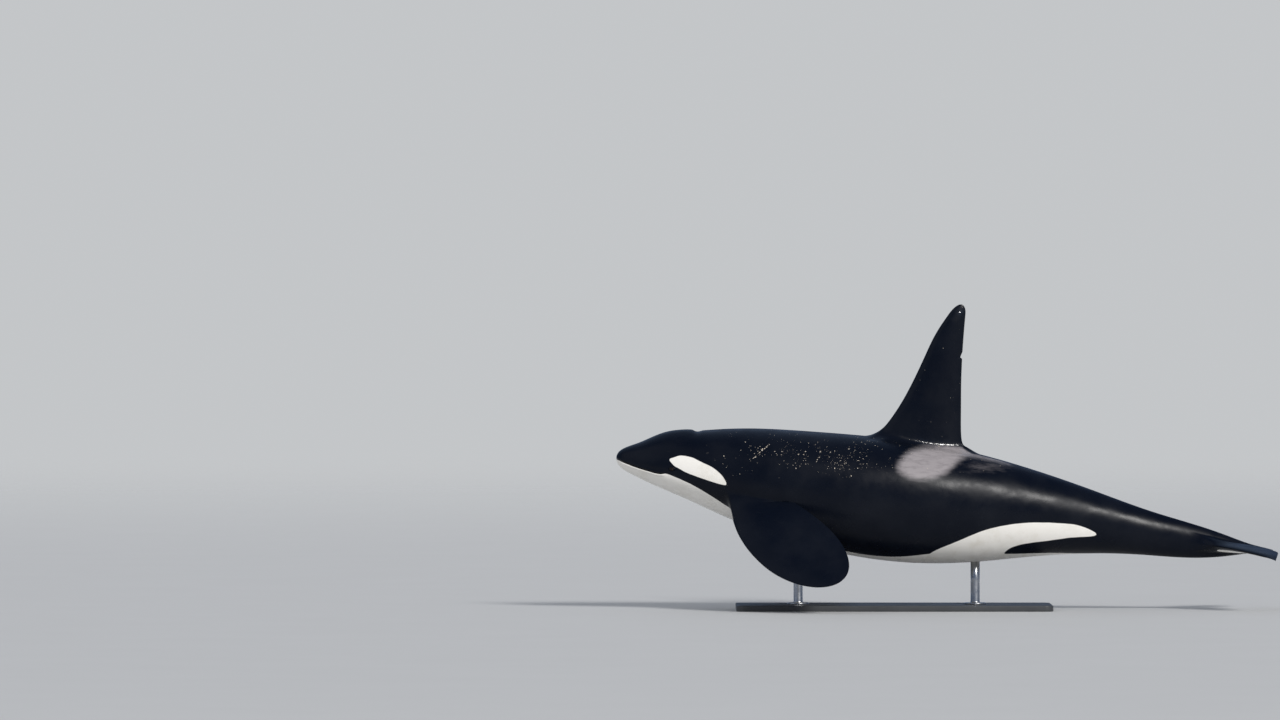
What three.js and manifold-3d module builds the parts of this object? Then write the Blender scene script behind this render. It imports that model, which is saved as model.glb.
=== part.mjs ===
// A life-size orca, a mature male at the surface with its back and tall fin out of the water, as a still
// museum model on a plain display stand. Millimetres, +Z up. The snout points along -X, so the animal's
// left side faces -Y. The origin is the middle of the underside of the stand's base.
//
// The body is a loft of sections along a bent axis. It is made in lengths with flat ends. Fins are lofts of
// thin sections between a leading and a trailing edge; each one's root is joined to the length that it
// grows from, and the blade is cut off flat just outside the body. GAP is left between touching pieces.
import * as THREE from 'three';
import { LoftGeometry } from 'three/addons/geometries/LoftGeometry.js';
import { mergeVertices } from 'three/addons/utils/BufferGeometryUtils.js';
import Module from 'manifold-3d';

const wasm = await Module();
wasm.setup();

// Driving dimensions
const GAP = 0.3;
const BODY_LENGTH = 6900; // snout to the notch of the flukes, along the axis
const SNOUT = { x: -2900, z: 1600 };
const WATERLINE = SNOUT.z - 100; // the level of the sea in the pose, which the fin's outline is taken from
const PITCH = 7.5; // degrees that the axis falls toward the tail
const TAIL_DIP = { from: 3900, to: 5300, degrees: 4.5 };
const FLUKE_LIFT = { from: 5400, to: 6900, degrees: -8 };
const LENGTHS = { head: 1050, chest: 2300, loin: 4050 }; // where each length of the body ends

// Sections of the body: distance from the snout, half width, and the heights of the back, of the widest
// level and of the belly from the axis
const STATIONS = [
  { at: 0, half: 0, back: 0, wide: 0, belly: 0 }, // snout
  { at: 30, half: 84, back: 71, wide: -10, belly: -76 },
  { at: 110, half: 160, back: 127, wide: -18, belly: -130 },
  { at: 250, half: 240, back: 200, wide: -24, belly: -182 },
  { at: 450, half: 322, back: 315, wide: -28, belly: -246 }, // corner of the mouth
  { at: 610, half: 372, back: 366, wide: -30, belly: -292 }, // eyes
  { at: 775, half: 418, back: 383, wide: -32, belly: -338 }, // blowhole
  { at: 1050, half: 488, back: 432, wide: -38, belly: -424 },
  { at: 1450, half: 562, back: 490, wide: -50, belly: -535 }, // flippers
  { at: 2000, half: 618, back: 531, wide: -62, belly: -642 },
  { at: 2600, half: 640, back: 560, wide: -70, belly: -702 }, // front of the dorsal fin
  { at: 3200, half: 606, back: 562, wide: -60, belly: -694 },
  { at: 3800, half: 516, back: 519, wide: -42, belly: -610 }, // behind the dorsal fin
  { at: 4400, half: 386, back: 428, wide: -22, belly: -474 },
  { at: 5000, half: 252, back: 330, wide: -4, belly: -332 },
  { at: 5600, half: 142, back: 246, wide: 4, belly: -220 },
  { at: 6100, half: 90, back: 188, wide: 4, belly: -160 }, // narrowest of the tail stock
  { at: 6450, half: 74, back: 116, wide: 0, belly: -100 },
  { at: 6700, half: 60, back: 50, wide: 0, belly: -46 },
  { at: 6850, half: 34, back: 14, wide: 0, belly: -14 }, // notch
];
const SECTION = { up: 2.15, side: 2.15, keel: 1.45 }; // exponents of the outline, where 2 is an ellipse
const KEEL = { from: 4000, to: 5900 }; // where side passes into keel, for the ridges of the tail stock

// Mouth: the line of the lips below the axis, from the snout back to the corner
const MOUTH_POINTS = [[0, -14], [40, -30], [120, -52], [250, -80], [380, -100], [470, -108], [530, -98]];
const LIP_GROOVE = { radius: 8, from: 6, above: 0, sink: 0 };
const UPPER_LIP = { radius: 15, from: 28, above: 20, sink: 9 };
const LOWER_LIP = { radius: 14, from: 34, above: -20, sink: 8 };
const JAW_BACK = { at: 545, lean: 38 }; // where the lower jaw ends, and degrees it leans back
const JAW_BLOCK = { ahead: 60, half: 700, deep: 600 }; // what of the head lies in it is the lower jaw
const BLOWHOLE = { at: 780, offset: -18, radius: 46, depth: 28, groove: 8 };
const BLOWHOLE_LIP = { ahead: 62, long: 90, wide: 80, high: 15, sink: 5 };
const EYE = { at: 588, level: -42, radius: 27, sink: 19 };
const EYELID = { radius: 25, thick: 8, stretch: 1.35 };

// Dorsal fin: matching points of its front and rear edges, behind and above its rear root
const FIN_ROOT = { x: 3601, z: 204 }; // behind the snout, above the waterline
const FIN_EDGES = [
  { front: [-1190, 20], rear: [190, -230] }, // inside the back
  { front: [-1020, 118], rear: [88, -56] },
  { front: [-868, 160], rear: [14, 30] },
  { front: [-758, 251], rear: [-1, 130] },
  { front: [-624, 460], rear: [1, 380] },
  { front: [-489, 711], rear: [3, 660] },
  { front: [-372, 961], rear: [13, 930] },
  { front: [-271, 1170], rear: [28, 1160] },
  { front: [-164, 1338], rear: [43, 1335] },
  { front: [-86, 1440], rear: [47, 1432] },
  { front: [-30, 1483], rear: [26, 1480] }, // tip
];
const FIN_STEP = 110; // rise of the root from one pair of points to the next
const FIN_HALF_THICK = { root: 92, tip: 13, flare: 120, flareReach: 62, fullChord: 220 };
const FIN_CUT = { front: 225, rear: 120, apart: 760 }; // heights of the cut between back and fin
const FIN_NICK = { x: 13, z: 930, length: 74, depth: 20, past: 40, half: 60 };

// Flippers: broad paddles, spread out, down and back
const FLIPPER = { length: 1560, chord: 790, at: 1430, round: 119, widest: 0.52, rootShare: 0.56 };
const FLIPPER_LIE = { back: 0.52, out: 0.64, down: 0.56, turn: 14 }; // its direction, and degrees of turn
const FLIPPER_SWEEP = 130; // how far the tip lies behind the line of its length
const FLIPPER_ROOT = { sunk: 40, inside: 170 }; // under the skin: where its length starts, and its root's end
const FLIPPER_HALF_THICK = { root: 62, tip: 15, flare: 60, flareReach: 90, fullChord: 340, tipChord: 12 };
const FLIPPER_CUT = 28; // from the flank

// Flukes
const FLUKE = { span: 985, front: 6260, tipFront: 6890, bend: 1.28, rear: 6915, rearBow: 48, notch: 62 };
const FLUKE_FILLET = { depth: 130, reach: 110 }; // at the root of its front edge
const FLUKE_HALF_THICK = { root: 52, tip: 11, flare: 62, flareReach: 80, fullChord: 180, tipShare: 0.1 };
const FLUKE_CURL = 85; // how far the tips bend down
const FLUKE_CUT = 118; // from the midline

// Stand
const BASE = { length: 3300, width: 1150, thick: 60, corner: 90, bevel: 8 };
const ROD = { radius: 48, footRadius: 115, footThick: 18, chamfer: 4, fillet: 14, sides: 28 };
const ROD_PLACES = { front: -1000, rear: 850 };

// How finely the curved pieces are cut into flats
const FACETS = { body: 40, tail: 32, fin: 10, paddle: 9, lips: 6, corner: 6 };
const SECTIONS = { head: 19, chest: 9, loin: 11, tail: 18, fin: 24, paddle: 14, lips: 36, nostril: 12, jaw: 11 };
const LIP_POINTS = 10; // from the snout to each corner of the mouth
const TAIL_END = 6850;

const radians = THREE.MathUtils.degToRad;
const smoothstep = THREE.MathUtils.smoothstep;
const lerp = THREE.MathUtils.lerp;

// How steeply the axis falls, in degrees, at a distance from the snout
function fallAt(at) {
  return PITCH
    + TAIL_DIP.degrees * smoothstep(at, TAIL_DIP.from, TAIL_DIP.to)
    + FLUKE_LIFT.degrees * smoothstep(at, FLUKE_LIFT.from, FLUKE_LIFT.to);
}

// The axis, summed in short steps
const AXIS_STEP = 10;
const axisPoints = [new THREE.Vector3(SNOUT.x, 0, SNOUT.z)];
for (let at = AXIS_STEP / 2; at < BODY_LENGTH + 2 * AXIS_STEP; at += AXIS_STEP) {
  const fall = radians(fallAt(at));
  const step = new THREE.Vector3(Math.cos(fall), 0, -Math.sin(fall)).multiplyScalar(AXIS_STEP);
  axisPoints.push(axisPoints[axisPoints.length - 1].clone().add(step));
}

// The point at a height above the axis and a distance to the side
function fromAxis(at, side, height) {
  const place = at / AXIS_STEP;
  const index = Math.min(Math.max(Math.floor(place), 0), axisPoints.length - 2);
  const fall = radians(fallAt(at));
  return axisPoints[index].clone()
    .lerp(axisPoints[index + 1], place - index)
    .add(new THREE.Vector3(Math.sin(fall) * height, side, Math.cos(fall) * height));
}

// Smooth values between the stations. The square root of the distance rounds the snout.
const stationSpline = new THREE.CubicInterpolant(
  STATIONS.map((s) => Math.sqrt(s.at)),
  STATIONS.flatMap((s) => [s.half, s.back, s.wide, s.belly]),
  4,
);
function stationAt(at) {
  const [half, back, wide, belly] = stationSpline.evaluate(Math.sqrt(at));
  return { half, back, wide, belly };
}

// A point of the skin: round is the angle from the middle of the back, over the left side, in degrees
function skinAt(at, round, grow = 0) {
  const { half, back, wide, belly } = stationAt(at);
  const sidePower = lerp(SECTION.side, SECTION.keel, smoothstep(at, KEEL.from, KEEL.to));
  const up = Math.cos(radians(round));
  const out = Math.sin(radians(round));
  const reach = up > 0 ? back - wide : wide - belly;
  const side = -Math.sign(out) * (half + grow) * Math.abs(out) ** (2 / sidePower);
  const height = wide + Math.sign(up) * (reach + grow) * Math.abs(up) ** (2 / SECTION.up);
  return fromAxis(at, side, height);
}

// A place on the skin, with the directions toward the tail, round the body and out of it
function skinFrame(at, angle) {
  const back = skinAt(at + 20, angle).sub(skinAt(at - 20, angle)).normalize();
  const round = skinAt(at, angle + 3).sub(skinAt(at, angle - 3)).normalize();
  const out = new THREE.Vector3().crossVectors(round, back).normalize();
  return { onSkin: skinAt(at, angle), back, round, out };
}

// A closed mesh geometry as a solid, and back
function solidOf(geometry) {
  const bare = new THREE.BufferGeometry().setAttribute('position', geometry.getAttribute('position'));
  if (geometry.index) bare.setIndex(geometry.index);
  const merged = mergeVertices(bare, 1e-3);
  const corners = Array.from(merged.index.array);
  const kept = [];
  for (let i = 0; i < corners.length; i += 3) {
    const [a, b, c] = corners.slice(i, i + 3);
    if (a !== b && b !== c && c !== a) kept.push(a, b, c);
  }
  const mesh = new wasm.Mesh({
    numProp: 3,
    vertProperties: merged.attributes.position.array,
    triVerts: new Uint32Array(kept),
  });
  return new wasm.Manifold(mesh);
}

function geometryOf(solid) {
  const { vertProperties, triVerts } = solid.getMesh();
  const geometry = new THREE.BufferGeometry()
    .setAttribute('position', new THREE.BufferAttribute(vertProperties, 3))
    .setIndex(new THREE.BufferAttribute(triVerts, 1));
  geometry.computeVertexNormals();
  return geometry;
}

// Joined and cut pieces keep only their largest closed surface
function keepLargest(solid) {
  return solid.decompose().sort((a, b) => b.volume() - a.volume())[0];
}

function joined(...solids) {
  return keepLargest(solids.reduce((sum, next) => sum.add(next)));
}

// A loft through rings of points, turned so that its faces point outward
function loftSolid(rings) {
  const middle = (ring) => ring.reduce((sum, p) => sum.add(p), new THREE.Vector3()).divideScalar(ring.length);
  const first = rings[0];
  const centre = middle(first);
  const area = first.reduce((sum, point, i) => {
    const next = first[(i + 1) % first.length].clone().sub(centre);
    return sum.add(point.clone().sub(centre).cross(next));
  }, new THREE.Vector3());
  const inward = area.dot(middle(rings[1]).sub(centre)) < 0;
  const sections = inward ? rings.map((ring) => [...ring].reverse()) : rings;
  return solidOf(new LoftGeometry(sections, { capStart: true, capEnd: true }));
}

// A length of the body, with sides points round it. places are the distances of its sections.
function bodyLength(places, sides) {
  return loftSolid(places.map((at) => Array.from({ length: sides }, (_, j) => skinAt(at, (360 * j) / sides))));
}

function spaced(from, to, count, power = 1) {
  return Array.from({ length: count + 1 }, (_, i) => from + (to - from) * (i / count) ** power);
}

// Distances that come closer together toward the tip of a fin
function towardTip(length, count) {
  return spaced(0, Math.PI / 2, count).map((angle) => length * Math.sin(angle));
}

// Half thickness along a fin's section, 1 at its thickest: round in front, a wedge behind
function foil(share) {
  return 2.3 * Math.sqrt(share) * (1 - share) ** 0.85;
}

// A closed ring round a fin's section. place gives the point at a share of the chord and a signed thickness.
function finRing(half, place, facets) {
  return Array.from({ length: 2 * facets }, (_, j) => {
    const share = (1 - Math.cos((Math.PI * j) / facets)) / 2;
    return place(share, (j <= facets ? 1 : -1) * half * foil(share));
  });
}

function thicknessAt(sizes, share, distance) {
  return lerp(sizes.root, sizes.tip, share) + sizes.flare * Math.exp(-Math.max(distance, 0) / sizes.flareReach);
}

// Head, with the lips' groove, the blowhole and the eyelids. The lower jaw is parted from it.
const mouthSpline = new THREE.CubicInterpolant(MOUTH_POINTS.map((p) => p[0]), MOUTH_POINTS.map((p) => p[1]), 1);

function roundAtHeight(at, height) {
  const { back, wide, belly } = stationAt(at);
  const share = height > wide ? (height - wide) / (back - wide) : (wide - height) / (wide - belly);
  const up = Math.min(share, 1) ** (SECTION.up / 2);
  return THREE.MathUtils.radToDeg(Math.acos(height > wide ? up : -up));
}

function lipPoint(at, side, above, sink) {
  const height = mouthSpline.evaluate(at)[0] + above;
  return skinAt(at, side * roundAtHeight(at, height), -sink);
}

function tube(points, radius, steps, sides) {
  const outline = new THREE.Shape(
    Array.from({ length: sides }, (_, i) => {
      const angle = (2 * Math.PI * i) / sides;
      return new THREE.Vector2(radius * Math.cos(angle), radius * Math.sin(angle));
    }),
  );
  const path = new THREE.CatmullRomCurve3(points);
  return solidOf(new THREE.ExtrudeGeometry(outline, { steps, extrudePath: path, bevelEnabled: false }));
}

// A tube round the snout from corner to corner of the mouth
function alongMouth({ radius, from, above, sink }) {
  const last = MOUTH_POINTS[MOUTH_POINTS.length - 1][0];
  const places = spaced(Math.sqrt(from), Math.sqrt(last), LIP_POINTS).map((root) => root * root);
  const left = places.map((at) => lipPoint(at, 1, above, sink)).reverse();
  const right = places.map((at) => lipPoint(at, -1, above, sink));
  return tube([...left, ...right], radius, SECTIONS.lips, FACETS.lips);
}

function blowholeGroove() {
  const arc = spaced(-100, 100, 8).map((turn) => {
    const at = BLOWHOLE.at + BLOWHOLE.depth * (Math.cos(radians(turn)) - 0.5);
    const side = BLOWHOLE.offset + BLOWHOLE.radius * Math.sin(radians(turn));
    const round = THREE.MathUtils.radToDeg(Math.asin(-side / stationAt(at).half));
    return skinAt(at, round);
  });
  return tube(arc, BLOWHOLE.groove, SECTIONS.nostril, FACETS.lips);
}

function blowholeLip() {
  const { ahead, long, wide, high, sink } = BLOWHOLE_LIP;
  const { onSkin, back, round, out } = skinFrame(BLOWHOLE.at - ahead, 0);
  const mound = new THREE.SphereGeometry(1, 14, 8);
  mound.applyMatrix4(new THREE.Matrix4().makeBasis(
    back.multiplyScalar(long),
    round.multiplyScalar(-wide),
    out.clone().multiplyScalar(high),
  ));
  const middle = onSkin.addScaledVector(out, -sink);
  mound.translate(middle.x, middle.y + BLOWHOLE.offset, middle.z);
  return solidOf(mound);
}

// The frame of an eye on the skin, with the middle of the eyeball below it
function eyePlace(side) {
  const frame = skinFrame(EYE.at, side * roundAtHeight(EYE.at, EYE.level));
  return { middle: frame.onSkin.clone().addScaledVector(frame.out, -EYE.sink), ...frame };
}

function eyelid(side) {
  const { onSkin, back, round, out } = eyePlace(side);
  const ring = new THREE.TorusGeometry(EYELID.radius, EYELID.thick, 6, 20);
  ring.scale(EYELID.stretch, 1, 1);
  ring.applyMatrix4(new THREE.Matrix4().makeBasis(back, round.negate(), out));
  ring.translate(onSkin.x, onSkin.y, onSkin.z);
  return solidOf(ring);
}

function eyeball(side, grow = 0) {
  const { middle, out } = eyePlace(side);
  const ball = new THREE.SphereGeometry(EYE.radius + grow, 16, 9);
  ball.applyQuaternion(new THREE.Quaternion().setFromUnitVectors(new THREE.Vector3(0, 1, 0), out));
  ball.translate(middle.x, middle.y, middle.z);
  return solidOf(ball);
}

// Block under the mouth. Its upper face follows the line of the lips, and shift moves its faces inward.
function jawBlock(shift) {
  const { ahead, half, deep } = JAW_BLOCK;
  const rows = spaced(-ahead, JAW_BACK.at, SECTIONS.jaw).map((at) => {
    const onMouth = Math.max(at, 0);
    const height = mouthSpline.evaluate(onMouth)[0] - shift;
    const lean = Math.tan(radians(JAW_BACK.lean)) * deep * onMouth / JAW_BACK.at;
    const top = at - shift;
    return [
      fromAxis(top, -half, height),
      fromAxis(top + lean, -half, height - deep),
      fromAxis(top + lean, half, height - deep),
      fromAxis(top, half, height),
    ];
  });
  return loftSolid(rows);
}

const wholeHead = joined(
  bodyLength([0.5, ...spaced(2, LENGTHS.head - GAP / 2, SECTIONS.head, 1.8)], FACETS.body),
  alongMouth(UPPER_LIP),
  alongMouth(LOWER_LIP),
  blowholeLip(),
  eyelid(1),
  eyelid(-1),
)
  .subtract(alongMouth(LIP_GROOVE))
  .subtract(blowholeGroove())
  .subtract(eyeball(1, GAP))
  .subtract(eyeball(-1, GAP));
const lowerJaw = keepLargest(wholeHead.intersect(jawBlock(GAP / 2)));
const head = keepLargest(wholeHead.subtract(jawBlock(-GAP / 2)));

// Dorsal fin
const finFront = new THREE.SplineCurve(FIN_EDGES.map((e) => new THREE.Vector2(...e.front)));
const finRear = new THREE.SplineCurve(FIN_EDGES.map((e) => new THREE.Vector2(...e.rear)));

function finSection(level, facets) {
  const front = finFront.getPoint(level);
  const rear = finRear.getPoint(level);
  const above = (level * (FIN_EDGES.length - 1) - 1) * FIN_STEP;
  const full = Math.min(1, rear.distanceTo(front) / FIN_HALF_THICK.fullChord);
  return finRing(full * thicknessAt(FIN_HALF_THICK, level, above), (share, side) => {
    const point = front.clone().lerp(rear, share);
    return new THREE.Vector3(SNOUT.x + FIN_ROOT.x + point.x, -side, WATERLINE + FIN_ROOT.z + point.y);
  }, facets);
}

// A small wedge with a square lower end, taken out of the fin's rear edge
function nick() {
  const { x, z, length, depth, past, half } = FIN_NICK;
  const outline = new THREE.Shape([
    new THREE.Vector2(x + past, length),
    new THREE.Vector2(x, length),
    new THREE.Vector2(x - depth, 0.25 * length),
    new THREE.Vector2(x - 0.7 * depth, 0),
    new THREE.Vector2(x + past, 0),
  ]);
  const wedge = new THREE.ExtrudeGeometry(outline, { depth: 2 * half, bevelEnabled: false });
  wedge.rotateX(Math.PI / 2);
  wedge.translate(SNOUT.x + FIN_ROOT.x, half, WATERLINE + FIN_ROOT.z + z);
  return solidOf(wedge);
}

const wholeFin = loftSolid(spaced(0, 1, SECTIONS.fin).map((level) => finSection(level, FACETS.fin)))
  .subtract(nick());

// The plane between the back and the fin: its upward normal and its distance from the origin
const finCutSlope = Math.atan2(FIN_CUT.front - FIN_CUT.rear, FIN_CUT.apart);
const finCutNormal = [Math.sin(finCutSlope), 0, Math.cos(finCutSlope)];
const finCutAt = finCutNormal[0] * (SNOUT.x + FIN_ROOT.x)
  + finCutNormal[2] * (WATERLINE + FIN_ROOT.z + FIN_CUT.rear);
const opposite = (normal) => normal.map((value) => -value);
const dorsalFin = wholeFin.trimByPlane(finCutNormal, finCutAt + GAP / 2);
const finRoot = wholeFin.trimByPlane(opposite(finCutNormal), -(finCutAt - GAP / 2));

// Flippers. The frame of each: its root in the flank, along its length, and across it toward the rear.
function flipperFrame(side) {
  const root = skinAt(FLIPPER.at, side * FLIPPER.round, -FLIPPER_ROOT.sunk);
  const along = new THREE.Vector3(FLIPPER_LIE.back, -side * FLIPPER_LIE.out, -FLIPPER_LIE.down).normalize();
  const across = new THREE.Vector3(1, 0, 0).addScaledVector(along, -along.x).normalize()
    .applyAxisAngle(along, side * radians(FLIPPER_LIE.turn));
  const face = new THREE.Vector3().crossVectors(along, across).multiplyScalar(side);
  return { root, along, across, face };
}

// Half the flipper's breadth: two quarter ellipses that meet where it is widest
function flipperHalfChord(distance) {
  const widest = FLIPPER.widest * FLIPPER.length;
  const reach = distance > widest
    ? FLIPPER.length - widest
    : widest / Math.sqrt(1 - FLIPPER.rootShare ** 2);
  return (FLIPPER.chord / 2) * Math.sqrt(Math.max(1 - ((distance - widest) / reach) ** 2, 0));
}

function flipperSection(side, distance) {
  const { root, along, across, face } = flipperFrame(side);
  const { tipChord, fullChord } = FLIPPER_HALF_THICK;
  const halfChord = Math.max(flipperHalfChord(Math.max(distance, 0)), tipChord / 2);
  const share = Math.max(distance, 0) / FLIPPER.length;
  const full = Math.min(1, (2 * halfChord) / fullChord);
  const half = full * thicknessAt(FLIPPER_HALF_THICK, share, distance);
  const shift = FLIPPER_SWEEP * share ** 2;
  return finRing(half, (chordShare, thick) => root.clone()
    .addScaledVector(along, distance)
    .addScaledVector(across, halfChord * (2 * chordShare - 1) + shift)
    .addScaledVector(face, thick), FACETS.paddle);
}

function wholeFlipper(side) {
  const places = towardTip(FLIPPER.length, SECTIONS.paddle);
  return loftSolid([-FLIPPER_ROOT.inside, ...places].map((distance) => flipperSection(side, distance)));
}

function flipperPieces(side) {
  const { onSkin, out } = skinFrame(FLIPPER.at, side * FLIPPER.round);
  const normal = out.toArray();
  const cutAt = out.dot(onSkin) + FLIPPER_CUT;
  const whole = wholeFlipper(side);
  return {
    blade: whole.trimByPlane(normal, cutAt + GAP / 2),
    root: whole.trimByPlane(opposite(normal), -(cutAt - GAP / 2)),
  };
}

// Flukes, to the left for side 1 and to the right for side -1
function flukeSection(side, distance) {
  const share = distance / FLUKE.span;
  const fillet = FLUKE_FILLET.depth * Math.exp(-distance / FLUKE_FILLET.reach);
  const front = lerp(FLUKE.front, FLUKE.tipFront, share ** FLUKE.bend) - fillet;
  const notch = FLUKE.notch * Math.exp(-distance / FLUKE.notch);
  const rear = FLUKE.rear + FLUKE.rearBow * Math.sin(Math.PI * share ** 0.8) - notch;
  const tip = Math.sqrt(Math.max(1 - share ** 6, 0.0004));
  const { fullChord, tipShare } = FLUKE_HALF_THICK;
  const full = Math.min(1, ((rear - front) / fullChord) * tip + tipShare);
  const half = full * thicknessAt(FLUKE_HALF_THICK, share, distance);
  return finRing(half, (chordShare, thick) => {
    const at = lerp(rear, front, (1 - chordShare) * tip);
    return fromAxis(at, -side * distance, thick - FLUKE_CURL * share ** 3);
  }, FACETS.paddle);
}

function wholeFluke(side) {
  return loftSolid(towardTip(FLUKE.span, SECTIONS.paddle).map((distance) => flukeSection(side, distance)));
}

function flukePieces(side) {
  const outward = [0, -side, 0];
  const whole = wholeFluke(side);
  return {
    blade: whole.trimByPlane(outward, FLUKE_CUT + GAP / 2),
    root: whole.trimByPlane(opposite(outward), -(FLUKE_CUT - GAP / 2)),
  };
}

// Stand: a flat base with rounded corners, and two rods with round feet, cut to the belly
function baseSolid() {
  const { length, width, thick, corner, bevel } = BASE;
  const x = length / 2 - bevel;
  const y = width / 2 - bevel;
  const outline = new THREE.Shape();
  outline.moveTo(-x + corner, -y);
  outline.lineTo(x - corner, -y);
  outline.absarc(x - corner, -y + corner, corner, -Math.PI / 2, 0);
  outline.absarc(x - corner, y - corner, corner, 0, Math.PI / 2);
  outline.absarc(-x + corner, y - corner, corner, Math.PI / 2, Math.PI);
  outline.absarc(-x + corner, -y + corner, corner, Math.PI, 1.5 * Math.PI);
  const slab = new THREE.ExtrudeGeometry(outline, {
    depth: thick - 2 * bevel,
    bevelThickness: bevel,
    bevelSize: bevel,
    bevelSegments: 1,
    curveSegments: FACETS.corner,
  });
  slab.translate(0, 0, bevel);
  return solidOf(slab);
}

function rodSolid(x) {
  const { radius, footRadius, footThick, chamfer, fillet, sides } = ROD;
  const top = SNOUT.z;
  const profile = [
    [0, 0],
    [footRadius, 0],
    [footRadius, footThick - chamfer],
    [footRadius - chamfer, footThick],
    [radius + fillet, footThick],
    [radius, footThick + fillet],
    [radius, top],
    [0, top],
  ].map(([r, z]) => new THREE.Vector2(r, z));
  const turned = new THREE.LatheGeometry(profile, sides);
  turned.rotateX(Math.PI / 2);
  turned.translate(x, 0, BASE.thick + GAP);
  return solidOf(turned);
}

// The pieces
const flippers = { left: flipperPieces(1), right: flipperPieces(-1) };
const flukes = { left: flukePieces(1), right: flukePieces(-1) };
const chest = joined(
  bodyLength(spaced(LENGTHS.head + GAP / 2, LENGTHS.chest - GAP / 2, SECTIONS.chest), FACETS.body),
  flippers.left.root,
  flippers.right.root,
);
const loin = joined(
  bodyLength(spaced(LENGTHS.chest + GAP / 2, LENGTHS.loin - GAP / 2, SECTIONS.loin), FACETS.body),
  finRoot,
);
const tailStock = joined(
  bodyLength(spaced(LENGTHS.loin + GAP / 2, TAIL_END, SECTIONS.tail), FACETS.tail),
  flukes.left.root,
  flukes.right.root,
);
const bodyForRods = chest.add(loin).translate([0, 0, -GAP]);
const rodFront = keepLargest(rodSolid(ROD_PLACES.front).subtract(bodyForRods));
const rodRear = keepLargest(rodSolid(ROD_PLACES.rear).subtract(bodyForRods));

// Materials
const skin = { color: 0x14161b, roughness: 0.32, metalness: 0 };
const jawSkin = { color: 0xe9e6e0, roughness: 0.36, metalness: 0 };
const eye = { color: 0x16100c, roughness: 0.08, metalness: 0 };
const paintedBase = { color: 0x3a3d40, roughness: 0.55, metalness: 0 };
const steel = { color: 0xa8abad, roughness: 0.3, metalness: 1 };

const orca = new THREE.Group();
function addNode(name, solid, look) {
  const mesh = new THREE.Mesh(geometryOf(solid), new THREE.MeshStandardMaterial(look));
  mesh.name = name;
  orca.add(mesh);
}

addNode('head', head, skin);
addNode('lower_jaw', lowerJaw, jawSkin);
addNode('eye_left', eyeball(1), eye);
addNode('eye_right', eyeball(-1), eye);
addNode('chest', chest, skin);
addNode('loin', loin, skin);
addNode('tail_stock', tailStock, skin);
addNode('dorsal_fin', dorsalFin, skin);
addNode('flipper_left', flippers.left.blade, skin);
addNode('flipper_right', flippers.right.blade, skin);
addNode('fluke_left', flukes.left.blade, skin);
addNode('fluke_right', flukes.right.blade, skin);
addNode('stand_base', baseSolid(), paintedBase);
addNode('stand_rod_front', rodFront, steel);
addNode('stand_rod_rear', rodRear, steel);

export default orca;
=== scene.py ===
# A life-size orca, a mature male in a level swimming pose, on a plain stand, with its finishes and light.
# Metres, +Z up. The snout points along -X, so the animal's left side faces -Y and the camera.
import math

import bmesh
import bpy
import numpy as np
from mathutils import Matrix, Vector


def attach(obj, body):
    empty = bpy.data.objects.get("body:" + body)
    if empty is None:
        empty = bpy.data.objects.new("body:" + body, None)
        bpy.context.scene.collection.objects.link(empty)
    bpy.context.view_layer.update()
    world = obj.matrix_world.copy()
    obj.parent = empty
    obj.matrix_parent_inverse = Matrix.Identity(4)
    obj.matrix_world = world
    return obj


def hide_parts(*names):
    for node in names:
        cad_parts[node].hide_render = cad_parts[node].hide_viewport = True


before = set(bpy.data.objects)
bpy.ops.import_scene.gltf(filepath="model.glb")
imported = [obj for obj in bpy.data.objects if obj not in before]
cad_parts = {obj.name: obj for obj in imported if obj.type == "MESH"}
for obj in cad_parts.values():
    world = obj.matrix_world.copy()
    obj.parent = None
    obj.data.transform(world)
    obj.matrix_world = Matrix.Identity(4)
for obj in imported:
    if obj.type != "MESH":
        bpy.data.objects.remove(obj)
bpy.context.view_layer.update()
scene = bpy.context.scene
print("solids loaded")

# Shape of the body. Each station: distance from the snout, half width, and the heights of the back,
# of the widest level and of the belly from the axis
body = {
    "snout": (-2.9, 1.6),
    "waterline": 1.5,
    "fall": 7.5,  # degrees that the axis falls toward the tail
    "tailDip": (3.9, 5.3, 4.5),  # from, to, degrees
    "flukeLift": (5.4, 6.9, -8.0),
    "axis": (7.0, 0.01),  # length and step
    "stations": [
        (0.00, 0.000, 0.000, 0.000, 0.000), (0.03, 0.084, 0.071, -0.010, -0.076),
        (0.11, 0.160, 0.127, -0.018, -0.130), (0.25, 0.240, 0.200, -0.024, -0.182),
        (0.45, 0.322, 0.315, -0.028, -0.246), (0.61, 0.372, 0.366, -0.030, -0.292),
        (0.775, 0.418, 0.383, -0.032, -0.338), (1.05, 0.488, 0.432, -0.038, -0.424),
        (1.45, 0.562, 0.490, -0.050, -0.535), (2.00, 0.618, 0.531, -0.062, -0.642),
        (2.60, 0.640, 0.560, -0.070, -0.702), (3.20, 0.606, 0.562, -0.060, -0.694),
        (3.80, 0.516, 0.519, -0.042, -0.610), (4.40, 0.386, 0.428, -0.022, -0.474),
        (5.00, 0.252, 0.330, -0.004, -0.332), (5.60, 0.142, 0.246, 0.004, -0.220),
        (6.10, 0.090, 0.188, 0.004, -0.160), (6.45, 0.074, 0.116, 0.000, -0.100),
        (6.70, 0.060, 0.050, 0.000, -0.046), (6.87, 0.046, 0.020, 0.000, -0.020),
    ],
    "section": 2.15,  # power of the oval
    "sectionKeel": 1.6,  # sharper above and below, on the tail stock
    "keel": (4.0, 5.9),  # where that begins and where it is full
    "tailRound": (6.8, 6.825),  # where the end between the flukes rounds off
    "normalStep": (0.002, 0.004),  # metres along and radians round
}


def smooth(x, low, high):
    t = np.clip((np.asarray(x, float) - low) / (high - low), 0.0, 1.0)
    return t * t * (3.0 - 2.0 * t)


def bump(x, middle, reach):
    return np.exp(-(((x - middle) / reach) ** 2))


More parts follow.
